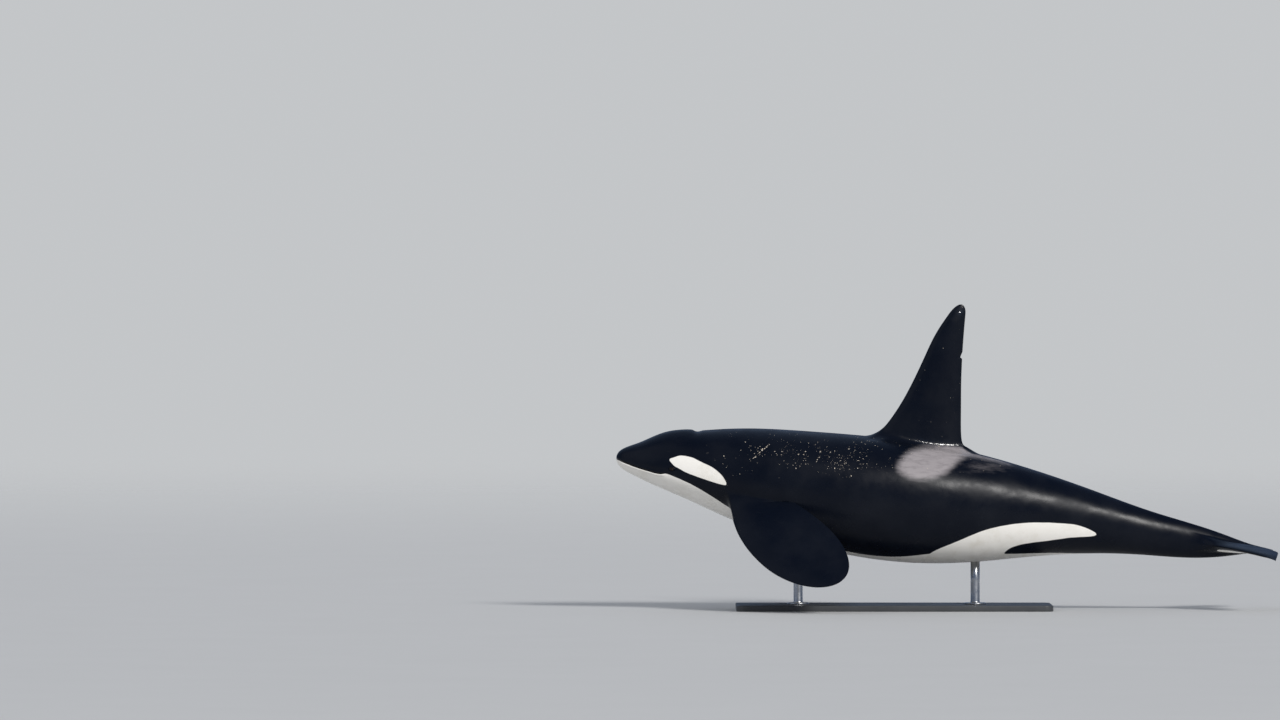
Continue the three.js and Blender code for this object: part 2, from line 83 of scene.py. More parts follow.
def totals(steps):
    return np.concatenate([[0], np.cumsum(steps)])


def unit(v):
    return v / np.maximum(np.linalg.norm(v, axis=-1, keepdims=True), 1e-12)


def curveThrough(xs, ys):
    # natural cubic spline through the named points, as a function of arrays
    xs = np.array(xs, float)
    ys = np.array(ys, float).reshape(len(xs), -1)
    n = len(xs)
    h = np.diff(xs)
    a = np.eye(n)
    b = np.zeros((n, ys.shape[1]))
    for i in range(1, n - 1):
        a[i, i - 1:i + 2] = h[i - 1], 2 * (h[i - 1] + h[i]), h[i]
        b[i] = 6 * ((ys[i + 1] - ys[i]) / h[i] - (ys[i] - ys[i - 1]) / h[i - 1])
    m = np.linalg.solve(a, b)

    def at(x):
        x = np.clip(np.asarray(x, float), xs[0], xs[-1])
        i = np.clip(np.searchsorted(xs, x, side="right") - 1, 0, n - 2)
        u = (xs[i + 1] - x)[..., None]
        v = (x - xs[i])[..., None]
        w = h[i][..., None]
        return (m[i] * u ** 3 + m[i + 1] * v ** 3) / (6 * w) \
            + (ys[i] / w - m[i] * w / 6) * u + (ys[i + 1] / w - m[i + 1] * w / 6) * v

    return at


def columnsCurve(table):
    # curve through a table: its first column against the others
    return curveThrough([row[0] for row in table], [row[1:] for row in table])


def stepsOf(start, stretches, end, endSteps):
    # even steps to the end of each stretch, then steps that shorten toward the very end
    places = [[start]]
    for stop, steps in stretches:
        places.append(np.linspace(start, stop, steps + 1)[1:])
        start = stop
    places.append(start + (end - start) * np.sin(np.linspace(0, math.pi / 2, endSteps + 1))[1:])
    return np.concatenate(places)


def fallAt(s):
    degrees = body["fall"]
    for start, end, turn in (body["tailDip"], body["flukeLift"]):
        degrees = degrees + turn * smooth(s, start, end)
    return np.radians(degrees)


(snoutX, snoutZ), waterline = body["snout"], body["waterline"]
axisLength, axisStep = body["axis"]
axisAt = np.arange(0.0, axisLength, axisStep)
axisMiddle = fallAt(axisAt[:-1] + axisStep / 2)
axisX = snoutX + totals(np.cos(axisMiddle) * axisStep)
axisZ = snoutZ - totals(np.sin(axisMiddle) * axisStep)
stationCurve = columnsCurve([(math.sqrt(station[0]), *station[1:]) for station in body["stations"]])


def fromAxis(s, side, height):
    s, side, height = np.broadcast_arrays(*(np.asarray(v, float) for v in (s, side, height)))
    fall = fallAt(s)
    x = np.interp(s, axisAt, axisX) + np.sin(fall) * height
    z = np.interp(s, axisAt, axisZ) + np.cos(fall) * height
    return np.stack([x, side, z], -1)


def stationAt(s):
    s = np.asarray(s, float)
    size = stationCurve(np.sqrt(np.maximum(s, 0.0)))
    low, high = body["tailRound"]
    left = np.sqrt(np.clip(1.0 - ((s - low) / (high - low)) ** 2 * (s > low), 0.0, 1.0))
    return [size[..., k] * left for k in range(4)]


def skinPoint(s, around):
    # around is the angle from the middle of the back, positive over the left side
    half, back, wide, belly = stationAt(s)
    power = body["section"] + (body["sectionKeel"] - body["section"]) * smooth(s, *body["keel"])
    up, out = np.cos(around), np.sin(around)
    reach = np.where(up > 0, back - wide, wide - belly)
    side = -np.sign(out) * half * np.abs(out) ** (2 / power)
    height = wide + np.sign(up) * reach * np.abs(up) ** (2 / body["section"])
    return fromAxis(s, side, height), side, height


def skinNormal(s, around):
    ahead, turn = body["normalStep"]
    along = skinPoint(s + ahead, around)[0] - skinPoint(np.maximum(s - ahead, 1e-5), around)[0]
    across = skinPoint(s, around + turn)[0] - skinPoint(s, around - turn)[0]
    return unit(np.cross(across, along))


def aroundAtHeight(s, height):
    half, back, wide, belly = stationAt(s)
    share = np.where(height > wide, (height - wide) / np.maximum(back - wide, 1e-9),
                     (wide - height) / np.maximum(wide - belly, 1e-9))
    up = np.clip(share, 0.0, 1.0) ** (body["section"] / 2)
    return np.arccos(np.where(height > wide, up, -up))


# The head: the line of the lips below the axis, the blowhole, the eye
mouth = {
    "line": [
        (0.0, -0.014), (0.04, -0.030), (0.12, -0.052), (0.25, -0.080), (0.38, -0.100), (0.47, -0.108),
        (0.53, -0.098),
    ],
    "fades": (0.5, 0.535),
    "starts": (0.0, 0.1),
    "startDepth": 0.35,  # share of the groove's depth at the tip of the snout
    "groove": (0.011, 0.0045, 1.6),  # depth, width, sharpness
    "lips": (0.005, 0.017, 0.012),  # height, distance from the line, width
    "corner": (0.004, 0.012, 0.016, 0.02),  # dimple: depth, distance behind the line, length, width
}
blowhole = {
    "at": (0.778, -0.018),  # from the snout, and to the side
    "radius": 0.046,
    "forward": 0.4,  # of the radius
    "narrow": 0.62,
    "horns": (-0.035, -0.012),
    "groove": (0.014, 0.0065),
    "lip": (0.008, 0.11),  # height, width
    "lipRise": (-0.2, -0.06),
    "lipFall": (-0.035, 0.005),
    "dip": (0.015, 0.03, 0.036, 0.13),  # depth, distance behind, length, width
    "onTop": (0.25, 0.3),  # heights from the axis where all this fades in
}
eye = {"at": 0.588, "height": -0.042, "radius": 0.027, "sink": 0.019, "opening": (0.025, 0.0165)}
mouthCurve = columnsCurve(mouth["line"])
mouthEnd = mouth["line"][-1][0]


def mouthHeight(s):
    return mouthCurve(s)[..., 0]


def eyeAngle(side):
    return side * float(aroundAtHeight(eye["at"], eye["height"]))


def headRelief(s, side, height, fromLine):
    # how far the skin stands out from the plain body
    start = smooth(s, *mouth["starts"])
    deep, wide, power = mouth["groove"]
    deep = deep * (mouth["startDepth"] + (1 - mouth["startDepth"]) * start)
    relief = -deep * np.exp(-np.abs(fromLine / wide) ** power)
    high, away, wide = mouth["lips"]
    relief = relief + start * high * (bump(fromLine, away, wide) + bump(fromLine, -away, wide))
    relief = relief * (1.0 - smooth(s, *mouth["fades"]))
    deep, behind, long, wide = mouth["corner"]
    relief = relief - deep * bump(s, mouthEnd + behind, long) * bump(fromLine, 0.0, wide)
    # crescent with its horns forward, its raised front lip, and the dip behind it
    ahead, over = s - blowhole["at"][0], side - blowhole["at"][1]
    radius, narrow = blowhole["radius"], blowhole["narrow"]
    ring = np.hypot(ahead + blowhole["forward"] * radius, over * narrow) - radius * narrow
    deep, wide = blowhole["groove"]
    groove = deep * bump(ring, 0.0, wide) * smooth(ahead, *blowhole["horns"])
    high, wide = blowhole["lip"]
    lip = high * smooth(ahead, *blowhole["lipRise"]) * (1 - smooth(ahead, *blowhole["lipFall"]))
    deep, behind, long, dipWide = blowhole["dip"]
    dip = deep * bump(ahead, behind, long) * bump(over, 0.0, dipWide)
    return relief + (lip * bump(over, 0.0, wide) - groove - dip) * smooth(height, *blowhole["onTop"])


# Grid of the body: its rows are sections, its columns run from snout to tail and crowd beside the mouth
grid = {
    "above": 46,
    "below": 34,
    "snoutRows": (0.02, 0.3, 46),  # root of the first row's place, the last row's place, rows
    "stretches": [(0.54, 33), (0.64, 21), (0.72, 8), (0.86, 24), (6.05, 189), (6.8, 31)],
    "endRows": 7,
    "sectionSamples": 1441,
    "mouthCrowd": 5.0,
    "mouthReach": 0.06,
    "mouthLeaves": (0.66, 1.0),  # where the columns leave the mouth's line
    "lineWithin": (0.12, 0.88),  # shares of the girth that the line stays between
    "blowholeCrowd": 3.0,
    "blowholeReach": 0.08,
    "blowholeRows": (0.79, 0.12),
}


def columnAngles(s):
    # angles from the middle of the back to that of the belly, and the arc from each to the mouth's line
    fine = np.linspace(0.0, math.pi, grid["sectionSamples"])
    side, height = skinPoint(s, fine)[1:]
    arc = totals(np.hypot(np.diff(side), np.diff(height)))
    total = arc[-1]
    crowd = 1.0 - smooth(s, *grid["mouthLeaves"])
    onMouth = np.interp(float(aroundAtHeight(s, mouthHeight(min(s, mouthEnd)))), fine, arc)
    share = grid["above"] / (grid["above"] + grid["below"])
    line = onMouth * crowd + total * share * (1 - crowd)
    line = min(max(line, grid["lineWithin"][0] * total), grid["lineWithin"][1] * total)
    dense = 1.0 + grid["mouthCrowd"] * crowd * np.exp(-np.abs(arc - line) / grid["mouthReach"])
    blow = grid["blowholeCrowd"] * bump(s, *grid["blowholeRows"])
    dense = dense + blow * bump(arc, 0.0, grid["blowholeReach"])
    walked = totals((dense[1:] + dense[:-1]) / 2 * np.diff(arc))
    toLine = np.interp(line, arc, walked)
    steps = np.concatenate([
        np.linspace(0, toLine, grid["above"] + 1),
        np.linspace(toLine, walked[-1], grid["below"] + 1)[1:],
    ])
    arcs = np.interp(steps, walked, arc)
    return np.interp(arcs, arc, fine), onMouth - arcs


first, last, count = grid["snoutRows"]
snout = np.linspace(first, math.sqrt(last), count) ** 2
rows = stepsOf(last, grid["stretches"], body["tailRound"][1], grid["endRows"])
rows = np.concatenate([[0.0], snout, rows[1:]])
columns = 2 * (grid["above"] + grid["below"])
bm = bmesh.new()
bmesh.ops.create_grid(bm, x_segments=columns, y_segments=len(rows) - 1, size=1.0)
bm.verts.ensure_lookup_table()
gridVerts = [bm.verts[r * (columns + 1):(r + 1) * (columns + 1)] for r in range(len(rows))]
arounds = np.zeros((len(rows), columns + 1))
for r, s in enumerate(rows):
    angles, fromLine = columnAngles(s)
    around = np.concatenate([-angles[::-1], angles[1:]])
    fromLine = np.concatenate([fromLine[::-1], fromLine[1:]])
    arounds[r] = around
    places, side, height = skinPoint(s, around)
    if s < grid["mouthLeaves"][1]:
        relief = headRelief(s, side, height, fromLine)
        places = places + skinNormal(max(s, 0.0005), around) * relief[:, None]
    for vert, place in zip(gridVerts[r], places):
        vert.co = place
print("body grid shaped:", len(bm.verts), "points")


def rowNear(s):
    return int(np.argmin(np.abs(rows - s)))


def openPatch(piece, around):
    # opens a hole in the grid at an angle round the body, and gives the loop round it, its rows and angles
    low, high, reach = piece["patch"]
    rowFrom, rowTo = rowNear(low), rowNear(high)
    column = int(np.argmin(np.abs(arounds[rowNear(piece["at"])] - around)))
    colFrom, colTo = column - reach, column + reach
    inner = [gridVerts[r][c] for r in range(rowFrom + 1, rowTo) for c in range(colFrom + 1, colTo)]
    bmesh.ops.delete(bm, geom=inner, context="VERTS")
    cells = [(r, colFrom) for r in range(rowFrom, rowTo + 1)]
    cells += [(rowTo, c) for c in range(colFrom + 1, colTo)]
    cells += [(r, colTo) for r in range(rowTo, rowFrom - 1, -1)]
    cells += [(rowFrom, c) for c in range(colTo - 1, colFrom, -1)]
    return [gridVerts[r][c] for r, c in cells], rows[[r for r, c in cells]], arounds[tuple(zip(*cells))]


def growRings(hole, rings, capped=False):
    # a new shell starts on the hole's edge. Each ring is extruded from the last and moved into its place.
    shell = bmesh.new()
    loop = [shell.verts.new(v.co) for v in hole]
    edges = [shell.edges.new((loop[i - 1], loop[i])) for i in range(len(loop))]
    for ring in rings:
        grown = bmesh.ops.extrude_edge_only(shell, edges=edges)["geom"]
        fresh = {v for v in grown if isinstance(v, bmesh.types.BMVert)}
        loop = [next(e.other_vert(v) for e in v.link_edges if e.other_vert(v) in fresh) for v in loop]
        edges = [shell.edges.get((loop[i - 1], loop[i])) for i in range(len(loop))]
        for vert, place in zip(loop, ring):
            vert.co = place
    if capped:
        bmesh.ops.contextual_create(shell, geom=loop)
    grownMesh = bpy.data.meshes.new("grown")
    shell.to_mesh(grownMesh)
    shell.free()
    bm.from_mesh(grownMesh)
    bpy.data.meshes.remove(grownMesh)


# Section of the fin, the flippers and the flukes
section = {
    "edges": (0.05, 0.985),  # shares of the chord where the round leading and trailing edges begin
    "crowd": 1.2,  # how much the points crowd toward the front
    "thick": 2.3,
    "taper": 0.85,
}


def foil(share):
    # half thickness along a section, 1 at its thickest: round in front, a wedge behind
    return section["thick"] * np.sqrt(share) * (1 - share) ** section["taper"]


def sectionShares(alongCount, acrossCount):
    # share of the chord and thickness for each point of a loop: face, rear edge, other face, front edge
    lead, trail = section["edges"]
    shares = lead + (trail - lead) * np.linspace(0, 1, alongCount + 1) ** section["crowd"]
    u = 1 - 2 * np.arange(1, acrossCount) / acrossCount
    share = np.concatenate([shares, trail + (1 - trail) * (1 - u ** 2), shares[::-1], lead * u ** 2])
    thick = np.concatenate([foil(shares), foil(trail) * u, -foil(shares[::-1]), -foil(lead) * u])
    return share, thick


def growBlade(piece, around, levels, ringPoints):
    # fairs the skin from a hole in the body into a blade's first ring, then grows the blade to its tip
    loop, loopS, loopAround = openPatch(piece, around)
    onBody = np.array([v.co[:] for v in loop])
    normal = skinNormal(loopS, loopAround)
    acrossCount = 2 * piece["patch"][2]
    share, thick = sectionShares(len(loop) // 2 - acrossCount, acrossCount)
    blade = [ringPoints(level, share, thick) for level in levels]
    count, leaveBy, arriveBy = piece["fairing"]
    toward = blade[0] - onBody
    span = np.linalg.norm(toward, axis=1, keepdims=True)
    leave = unit(toward - (toward * normal).sum(1, keepdims=True) * normal) * span * leaveBy
    arrive = unit(blade[1] - blade[0]) * span * arriveBy
    faired = []
    for t in np.linspace(0, 1, count + 1)[1:-1]:
        a, b = 2 * t ** 3 - 3 * t ** 2 + 1, t ** 3 - 2 * t ** 2 + t
        faired.append(a * onBody + b * leave + (1 - a) * blade[0] + (t ** 3 - t ** 2) * arrive)
    growRings(loop, faired + blade)


def growPair(piece, ringPoints):
    levels = stepsOf(0.0, piece["levels"], 1.0, piece["tipRings"])
    levels = piece["start"] + (piece["length"] - piece["start"]) * levels
    for side in (1, -1):
        growBlade(piece, side * math.radians(piece["around"]), levels, ringPoints(side))


# Dorsal fin: matching points of its front and rear edges, behind and above its rear root
fin = {
    "root": (3.601, 0.204),
    "edges": [
        ((-0.826, 0.190), (0.049, 0.006)), ((-0.758, 0.262), (0.006, 0.090)),
        ((-0.624, 0.460), (0.001, 0.380)), ((-0.489, 0.711), (0.003, 0.660)),
        ((-0.372, 0.961), (0.013, 0.930)), ((-0.271, 1.170), (0.028, 1.160)),
        ((-0.164, 1.338), (0.043, 1.335)), ((-0.086, 1.440), (0.047, 1.432)),
        ((-0.030, 1.483), (0.026, 1.480)), ((-0.004, 1.4892), (0.003, 1.4895)),
    ],
    "halfThick": (0.104, 0.013),  # at the root and at the tip
    "fullChord": 0.22,
    # small notch in the rear edge: depth, heights where it opens and closes, and its place along a section
    "nick": (0.018, (0.922, 0.932), (0.94, 1.004), (0.8, 0.97)),
    "sag": (0.042, 1.6),  # how far the middle of the first ring dips, and the level where that ends
    "levels": [(3.6, 25), (4.4, 21), (8.0, 33)],  # up to which edge point, and rings on the way
    "tipRings": 7,
    "at": 3.2,
    "patch": (2.54, 3.77, 11),  # the hole in the body: from, to, columns each way
    "fairing": (12, 0.7, 1.2),  # rings, and how strongly they leave the body and meet the blade
}
finTop = len(fin["edges"]) - 1
finEdges = curveThrough(range(finTop + 1), fin["edges"])


def finSag(share):
    return fin["sag"][0] * np.sin(math.pi * share)


def finRing(level, share, thick):
    front, rear = finEdges(level).reshape(2, 2)
    chord = math.hypot(*(rear - front))
    root, tip = fin["halfThick"]
    thickness = (root + (tip - root) * level / finTop) * min(1.0, chord / fin["fullChord"])
    if level >= finTop:
        front, thickness = rear, 0.0
    deep, opens, closes, toRear = fin["nick"]
    bite = deep * smooth(rear[1], *opens) * (1 - smooth(rear[1], *closes)) * smooth(share, *toRear)
    x, z = front[:, None] + (rear - front)[:, None] * share
    x = x + fin["root"][0] + snoutX - bite
    z = z + fin["root"][1] + waterline - finSag(share) * (1 - smooth(level, 0, fin["sag"][1]))
    return np.stack([x, thickness * thick, z], -1)


growBlade(fin, 0.0, stepsOf(0.0, fin["levels"], finTop, fin["tipRings"]), finRing)
print("dorsal fin grown")

# Flippers: broad paddles, spread out, down and back
flipper = {
    "length": 1.56,
    "chord": 0.79,
    "at": 1.43,
    "around": 119.0,
    "sunk": 0.04,
    "widest": 0.52,
    "rootShare": 0.56,
    "lie": (0.52, 0.64, 0.56),  # back, out, down
    "turn": 14.0,
    "sweep": 0.13,
    "halfThick": (0.066, 0.015),
    "fullChord": 0.34,
    "start": 0.15,
    "skew": 0.2,  # how much farther out the rear of the first ring lies
    "levels": [(0.7, 25)],
    "tipRings": 21,
    "patch": (1.17, 1.91, 5),
    "fairing": (9, 1.0, 0.8),
}


def flipperRing(side):
    at, around = flipper["at"], side * math.radians(flipper["around"])
    root = skinPoint(at, around)[0] - skinNormal(at, around) * flipper["sunk"]
    back, out, down = flipper["lie"]
    along = Vector((back, -side * out, -down)).normalized()
    across = (Vector((1, 0, 0)) - along * along.x).normalized()
    across = Matrix.Rotation(side * math.radians(flipper["turn"]), 3, along) @ across
    face = along.cross(across) * side
    length, start = flipper["length"], flipper["start"]
    widest = flipper["widest"] * length
    inward = widest / math.sqrt(1 - flipper["rootShare"] ** 2)
    rootThick, tipThick = flipper["halfThick"]

    def points(level, share, thick):
        left = 1 - (level - start) / (length - start)
        distance = level + flipper["skew"] * (share - 0.5) * left ** 2
        reach = np.where(distance > widest, length - widest, inward)
        halfChord = flipper["chord"] / 2 * np.sqrt(np.clip(1 - ((distance - widest) / reach) ** 2, 0, 1))
        of = distance / length
        faceBy = thick * (rootThick + (tipThick - rootThick) * of)
        faceBy = faceBy * np.minimum(1, 2 * halfChord / flipper["fullChord"])
        acrossBy = halfChord * (2 * share - 1) + flipper["sweep"] * of ** 2
        return root + np.stack([distance, acrossBy, faceBy], -1) @ np.stack([along, across, face])

    return points


growPair(flipper, flipperRing)
print("flippers grown")

# Flukes, level with the tail's end
fluke = {
    "length": 0.985,
    "front": 6.26,
    "tipFront": 6.89,
    "bend": 1.28,
    "rear": 6.915,
    "rearBow": (0.048, 0.8),
    "notch": (0.1, 0.12),
    "fillet": (0.13, 0.11),
    "tipRound": 6,
    "halfThick": (0.052, 0.011),
    "flare": (0.05, 0.11),
    "fullChord": 0.18,
    "curl": (0.085, 3),
    "start": 0.2,
    "levels": [(0.6, 19)],
    "tipRings": 19,
    "at": 6.5,
    "around": 90.0,
    "patch": (6.05, 6.8, 21),
    "fairing": (11, 0.8, 0.8),
}


def fading(distance, amount, reach):
    return amount * np.exp(-distance / reach)


def flukeEdges(distance):
    # where the leading and the trailing edge lie along the body, at a distance out from its middle
    of = np.clip(distance / fluke["length"], 0, 1)
    front = fluke["front"] + (fluke["tipFront"] - fluke["front"]) * of ** fluke["bend"]
    front = front - fading(distance, *fluke["fillet"])
    rear = fluke["rear"] + fluke["rearBow"][0] * np.sin(math.pi * of ** fluke["rearBow"][1])
    rear = rear - fading(distance, *fluke["notch"])
    return front, rear


def flukeRing(side):
    root, end = fluke["halfThick"]
    curl, curlPower = fluke["curl"]

    def points(distance, share, thick):
        of = distance / fluke["length"]
        front, rear = flukeEdges(distance)
        tip = math.sqrt(max(1 - of ** fluke["tipRound"], 0))
        full = min(1.0, (rear - front) / fluke["fullChord"] * tip)
        thickness = full * (root + (end - root) * of + fading(distance, *fluke["flare"]))
        at = rear + (front - rear) * (1 - share) * tip
        return fromAxis(at, -side * distance, thickness * thick * side - curl * of ** curlPower)

    return points


growPair(fluke, flukeRing)
print("flukes grown")

# Eyelids: the skin closes in rings to an opening over the eyeball
lids = {
    "at": eye["at"],
    "patch": (0.545, 0.632, 6),
    "frame": (0.036, 0.03),  # oval in which the lids begin
    "frameShare": 0.36,
    "rings": 12,
    "crowd": 0.8,
    "bulge": (0.007, 0.45, 0.85),  # height, and between which shares of the way in it rises
    "fold": (0.004, 0.5, 0.09),  # depth, share of the way in, reach
    "tucks": 3,
    "tuck": 0.014,
    "tuckShrink": 0.1,
}
for side in (1, -1):
    eyeAround = eyeAngle(side)
    loop, loopS, loopAround = openPatch(lids, eyeAround)
    start = np.stack([loopS, loopAround])
    centre = np.array([[eye["at"]], [eyeAround]])
    girth = float(stationAt(eye["at"])[0])
    turn = np.arctan2((loopAround - eyeAround) * girth, loopS - eye["at"])
    frameOval, opening = (centre + np.stack([wide * np.cos(turn), tall * np.sin(turn) / girth])
                          for wide, tall in (lids["frame"], eye["opening"]))
    rings = []
    for k in range(1, lids["rings"] + lids["tucks"] + 1):
        t = min(k / lids["rings"], 1.0) ** lids["crowd"]
        inward = max(k - lids["rings"], 0) / lids["tucks"]
        ring = start + (frameOval - start) * smooth(t, 0, lids["frameShare"])
        ring = ring + (opening - ring) * max(t - lids["frameShare"], 0) / (1 - lids["frameShare"])
        ring = centre + (ring - centre) * (1 - lids["tuckShrink"] * inward)
        (high, *rises), (deep, *lies) = lids["bulge"], lids["fold"]
        stand = (high * smooth(t, *rises) - deep * bump(t, *lies)) * (1 - inward) - lids["tuck"] * inward
        rings.append(skinPoint(*ring)[0] + skinNormal(*ring) * stand)
    growRings(loop, rings, capped=True)
print("eyelids made")


def meshOf(bm, name):
    bmesh.ops.recalc_face_normals(bm, faces=bm.faces)
    mesh = bpy.data.meshes.new(name)
    bm.to_mesh(mesh)
    bm.free()
    return mesh


def objectOf(mesh, material):
    mesh.materials.append(material)
    mesh.shade_smooth()
    made = bpy.data.objects.new(mesh.name, mesh)
    scene.collection.objects.link(made)
    return made


bmesh.ops.remove_doubles(bm, verts=bm.verts, dist=2e-6)  # the shells join the body
bmesh.ops.dissolve_degenerate(bm, edges=bm.edges, dist=1e-6)
openEdges = [e for e in bm.edges if not e.is_manifold]
print("skin closed:", len(bm.faces), "faces,", len(openEdges), "open edges")
skinMesh = meshOf(bm, "skin")

# Markings. The outlines are as seen from the side, behind the snout and above the waterline.
markings = {
    "eyePatch": [
        (0.553, 0.079), (0.594, 0.099), (0.647, 0.117), (0.687, 0.120), (0.740, 0.112), (0.793, 0.099),
        (0.846, 0.075), (0.913, 0.041), (0.980, 0.011), (1.060, -0.045), (1.125, -0.120), (1.145, -0.183),
        (1.100, -0.180), (1.000, -0.150), (0.880, -0.110), (0.780, -0.075), (0.700, -0.040),
        (0.647, -0.0105), (0.606, 0.0125), (0.574, 0.046),
    ],
    "saddle": [
        (2.911, -0.037), (2.910, 0.024), (2.950, 0.094), (3.000, 0.148), (3.080, 0.194), (3.190, 0.222),
        (3.382, 0.235), (3.580, 0.240), (3.690, 0.225), (3.800, 0.172), (3.920, 0.120), (4.040, 0.074),
        (4.120, 0.016), (4.030, 0.030), (3.950, 0.049), (3.830, 0.073), (3.740, 0.092), (3.655, 0.087),
        (3.596, 0.060), (3.535, 0.008), (3.425, -0.085), (3.180, -0.145), (2.995, -0.110),
    ],
    "saddleTop": (-0.004, 3),  # from the foot of the fin, and how sharply it ends there
    "saddleCrest": (12.0, 3, 3.6, 3.74),  # black along the crest: degrees, sharpness, where it starts
    # faint grey behind: how far it stays below the saddle's edge, strength, middle, reach
    "saddleShade": (0.03, 0.029, (3.86, 0.005), (0.28, 0.065)),
    # half width of the white belly, in degrees round the body from the middle of the belly
    "belly": [
        (0.50, 75), (0.90, 60), (1.20, 46), (1.60, 32), (2.20, 24), (3.00, 26), (3.60, 40), (4.20, 30),
        (4.80, 16), (5.10, 0), (5.40, -12), (7.00, -12),
    ],
    "throat": (0.48, 0.62),  # where the belly's white takes over from the jaw's
    "underLips": 0.006,
    # lobe on the flank: distance from the snout and height from the axis
    "flank": [
        (3.35, -0.60), (3.60, -0.42), (3.90, -0.25), (4.30, -0.12), (4.70, -0.06), (5.00, -0.07),
        (5.08, -0.10), (4.90, -0.17), (4.60, -0.26), (4.30, -0.35), (4.15, -0.45), (4.10, -0.55),
        (3.80, -0.66),
    ],
    # a blade begins where the skin leaves the plain body, and a marking ends a share of the way onto it
    "bladeOff": (0.03, 0.18),
    "bladeFrom": (0.8, 1.0),
    "flukesFrom": 5.9,
    "flukesOut": (0.1, 0.13),
    "whiteOntoBlade": 0.3,
    "saddleOntoBlade": 0.8,
    "bladeSlope": 0.2,
    # the flukes are white below: the dark rim in front, behind, at the tip and in the middle
    "flukeRim": (0.055, 0.04, 0.12, 0.13),
    "flukeCorner": 0.02,
    # painted glints of sun on the wet skin, drawn as pale flecks: how thick, middle and reach of each
    # crowd, then those all over the back and on the blades
    "paintedGlints": [(0.75, (2.46, 0.03), (0.3, 0.07)), (0.38, (2.05, 0.13), (0.6, 0.1)),
               (0.30, (3.13, 0.25), (0.14, 0.035))],
    "backPaintedGlints": (0.07, (0.9, 1.3), (-0.12, 0.0)),
    "bladePaintedGlints": (0.02, 0.1),
    # wet along the foot of the fin, as shares of the foot and height from it, and a drop near the tip
    "wetFoot": ((0.36, 0.48), (0.95, 0.99), (-0.008, 0.036)),
    "wetDrop": (2.0, (3.596, 1.615), (0.032, 0.03)),
}


def roundOutline(points, count=120):
    # closed smooth curve through the points
    points = np.array(points)
    lap = 4  # points repeated at both ends, so that it closes smoothly
    wrapped = np.concatenate([points[-lap:], points, points[:lap + 1]])
    walked = totals(np.linalg.norm(np.diff(wrapped, axis=0), axis=1))
    places = np.linspace(walked[lap], walked[lap + len(points)], count + 1)[:-1]
    return curveThrough(walked, wrapped)(places)


def insideBy(points, outline):
    # distance inside a closed outline, negative outside it
    best = np.full(len(points), np.inf)
    inside = np.zeros(len(points), bool)
    along, up = points.T
    for p, q in zip(outline, np.roll(outline, -1, axis=0)):
        edge = q - p
        t = np.clip(((points - p) @ edge) / max(edge @ edge, 1e-12), 0, 1)
        best = np.minimum(best, np.linalg.norm(points - p - t[:, None] * edge, axis=1))
        with np.errstate(divide="ignore", invalid="ignore"):
            crossing = p[0] + (up - p[1]) / (q[1] - p[1]) * (q[0] - p[0])
        inside ^= ((p[1] > up) != (q[1] > up)) & (along < crossing)
    return np.where(inside, best, -best)


def pointValues(name):
    values = np.zeros(len(skinMesh.vertices) * 3, np.float32)
    skinMesh.vertices.foreach_get(name, values)
    return values.reshape(-1, 3).astype(float)


co = pointValues("co")
outBy = np.abs(co[:, 1])
fromSide = co[:, [0, 2]] - (snoutX, waterline)
behind, above = fromSide.T
# distance along the axis and height from it, found in a few rounds
at = behind
for _ in range(8):
    fall = fallAt(at)
    dx = co[:, 0] - np.interp(at, axisAt, axisX)
    dz = co[:, 2] - np.interp(at, axisAt, axisZ)
    at = at + dx * np.cos(fall) - dz * np.sin(fall)
height = dx * np.sin(fall) + dz * np.cos(fall)
half, back, wide, belly = stationAt(np.clip(at, 0, body["tailRound"][0] - 0.01))
up = (height - wide) / np.maximum(np.where(height > wide, back - wide, wide - belly), 1e-3)
out = outBy / np.maximum(half, 1e-3)
around = np.degrees(np.arctan2(out, up))
onFlukes = at > markings["flukesFrom"]
bladeShare = smooth(np.hypot(out, up) - 1.0, *markings["bladeOff"])
bladeShare = np.where(onFlukes, smooth(outBy, *markings["flukesOut"]), bladeShare)
bladeShare = bladeShare * smooth(at, *markings["bladeFrom"])


def spot(strength, middle, reach):
    return strength * bump(behind, middle[0], reach[0]) * bump(above, middle[1], reach[1])


def whiteField():
    patch = insideBy(fromSide, roundOutline(markings["eyePatch"]))
    flank = insideBy(np.stack([at, height], -1), roundOutline(markings["flank"]))
    reach = columnsCurve(markings["belly"])(at)[:, 0] - (180 - around)
    under = np.radians(reach) * np.maximum(half, 0.15)
    jaw = mouthHeight(np.clip(at, 0, mouthEnd)) - markings["underLips"] - height
    throat = smooth(at, *markings["throat"])
    field = np.maximum.reduce([patch, under * throat + jaw * (1 - throat), flank])
    field = np.minimum(field, (markings["whiteOntoBlade"] - bladeShare) * markings["bladeSlope"])
    # undersides of the flukes: the least of four distances, with round corners
    front, rear = flukeEdges(outBy)
    sides = np.stack([at - front, rear - at, fluke["length"] - outBy, outBy], -1) - markings["flukeRim"]
    corner = markings["flukeCorner"]
    below = -corner * np.log(np.exp(-np.clip(sides, -0.5, 1.0) / corner).sum(-1))
    facesDown = pointValues("normal")[:, 2] < 0
    return np.where(facesDown & onFlukes, np.maximum(field, below), field)


# share of the way along the foot of the fin, and height above it
footFront, footRear = np.array(fin["edges"][0])
footShare = np.clip((behind - fin["root"][0] - footFront[0]) / (footRear[0] - footFront[0]), 0, 1)
footHeight = footFront[1] + (footRear[1] - footFront[1]) * footShare
aboveFoot = above - fin["root"][1] - footHeight + finSag(footShare)


